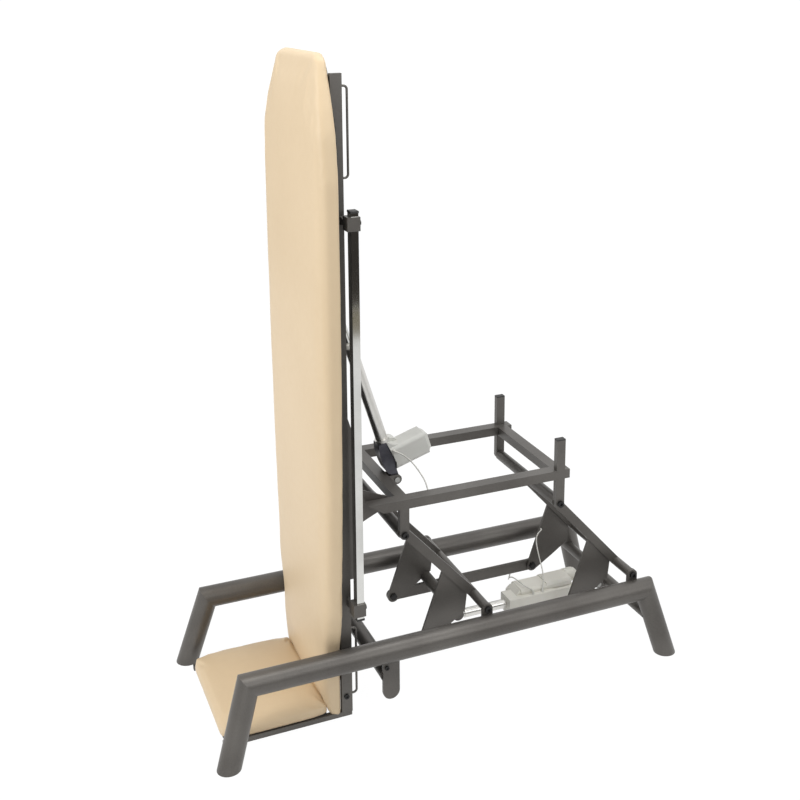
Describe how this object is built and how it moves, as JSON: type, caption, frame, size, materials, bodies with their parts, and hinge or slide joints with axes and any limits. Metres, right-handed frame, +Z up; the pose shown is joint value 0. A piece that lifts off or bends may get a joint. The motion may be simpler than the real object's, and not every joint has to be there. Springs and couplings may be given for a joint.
{
  "type": "tilt table",
  "caption": "Electric tilt table standing upright on a tubular base: padded top with foot platform, side rails, parallelogram lift arms and linear actuators.",
  "frame": {"origin": "on the floor, at the middle of the base", "axes": "+X to the head end of the base, +Y to the far side, +Z up; the upright pad faces -X"},
  "size_m": [1.573, 0.6604, 2.036],
  "materials": {
    "steel_paint": "satin",
    "bolt_steel": "satin",
    "chrome": "polished",
    "hide": "satin",
    "rubber": "matte",
    "gear_paint": "satin",
    "case_paint": "satin",
    "ivory_paint": "satin"
  },
  "bodies": {
    "base": {"base_rails": "steel_paint", "base_legs": "steel_paint", "foot_cross_tube": "steel_paint", "head_cross_tube": "steel_paint", "hanging_plates": "steel_paint", "plate_bolts": "bolt_steel", "arm_brackets": "steel_paint", "bracket_bolts": "bolt_steel", "lift_anchor": "steel_paint", "lift_anchor_pin": "chrome"},
    "front_arms": {"front_pivot_tube": "steel_paint", "front_arms_bars": "steel_paint", "front_top_tube": "steel_paint", "front_gussets": "steel_paint", "front_gusset_tube": "steel_paint", "lift_rod_lug": "steel_paint", "front_tie_pins": "bolt_steel"},
    "rear_arms": {"rear_pivot_tube": "steel_paint", "rear_arms_bars": "steel_paint", "rear_top_tube": "steel_paint", "rear_gussets": "steel_paint", "rear_tie_pins": "bolt_steel"},
    "tie_bar_pair": {"tie_bars": "steel_paint"},
    "upper_frame": {"side_bars": "steel_paint", "cross_bars": "steel_paint", "uprights": "steel_paint", "upright_caps": "rubber", "lower_legs": "steel_paint", "leg_bolts": "bolt_steel", "tilt_anchor": "steel_paint", "tilt_anchor_pin": "chrome", "tilt_pivots": "bolt_steel", "tilt_cable": "ivory_paint"},
    "tabletop": {"table_side_tubes": "steel_paint", "table_cross_tubes": "steel_paint", "pad_board": "hide", "pad": "hide", "hinge_stiffeners": "steel_paint", "hinge_plates": "steel_paint", "strap_hoops": "steel_paint", "accessory_rails": "chrome", "rail_caps": "rubber", "rail_clamps": "steel_paint", "clamp_screws": "bolt_steel", "foot_bars": "steel_paint", "foot_board": "hide", "foot_pad": "hide", "foot_bolts": "bolt_steel", "tilt_rod_bracket": "steel_paint"},
    "tilt_actuator": {"tilt_gearbox": "gear_paint", "tilt_motor_case": "case_paint", "tilt_tube": "chrome", "tilt_collar": "ivory_paint"},
    "tilt_rod_body": {"tilt_rod": "chrome"},
    "lift_actuator": {"lift_gearbox": "ivory_paint", "lift_motor_case": "case_paint", "lift_tube": "chrome", "box_cable_rear": "ivory_paint", "box_cable_far": "ivory_paint"},
    "lift_rod_body": {"lift_rod": "chrome"}
  },
  "joints": [
    {"name": "front_lift", "type": "hinge", "parent": "base", "child": "front_arms", "pos_m": [0.101, 0, 0.284], "axis": [0, 1, 0], "range_deg": [0, 10]},
    {"name": "rear_lift", "type": "hinge", "parent": "base", "child": "rear_arms", "pos_m": [0.641, 0, 0.284], "axis": [0, 1, 0], "range_deg": [0, 10]},
    {"name": "frame_level", "type": "hinge", "parent": "front_arms", "child": "upper_frame", "pos_m": [-0.169, 0, 0.58], "axis": [0, 1, 0], "range_deg": [-10, 0]},
    {"name": "tie_level", "type": "hinge", "parent": "front_arms", "child": "tie_bar_pair", "pos_m": [-0.068, 0, 0.161], "axis": [0, 1, 0], "range_deg": [-10, 0]},
    {"name": "tilt", "type": "hinge", "parent": "upper_frame", "child": "tabletop", "pos_m": [-0.225, 0, 0.68], "axis": [0, 1, 0], "range_deg": [0, 90]},
    {"name": "tilt_actuator_swing", "type": "hinge", "parent": "upper_frame", "child": "tilt_actuator", "pos_m": [-0.1125, 0, 0.667], "axis": [0, 1, 0], "range_deg": [0, 96.3]},
    {"name": "tilt_rod_slide", "type": "slide", "parent": "tilt_actuator", "child": "tilt_rod_body", "axis": [-0.3022, 0, 0.9533], "range_m": [-0.1467, 0]},
    {"name": "lift_actuator_swing", "type": "hinge", "parent": "base", "child": "lift_actuator", "pos_m": [0.65, -0.01, 0.132], "axis": [0, 1, 0], "range_deg": [0, 1.03]},
    {"name": "lift_rod_slide", "type": "slide", "parent": "lift_actuator", "child": "lift_rod_body", "axis": [-1, 0, 0], "range_m": [0, 0.0258]}
  ],
  "couplings": [
    {"joint": "rear_lift", "follows": "front_lift", "ratio": 1},
    {"joint": "frame_level", "follows": "front_lift", "ratio": -1},
    {"joint": "tie_level", "follows": "front_lift", "ratio": -1},
    {"joint": "lift_actuator_swing", "follows": "front_lift", "ratio": 0.10224},
    {"joint": "lift_rod_slide", "follows": "front_lift", "m_per_rad": 0.14736},
    {"joint": "tilt_actuator_swing", "follows": "tilt", "ratio": 1.0689},
    {"joint": "tilt_rod_slide", "follows": "tilt", "m_per_rad": -0.093338}
  ]
}
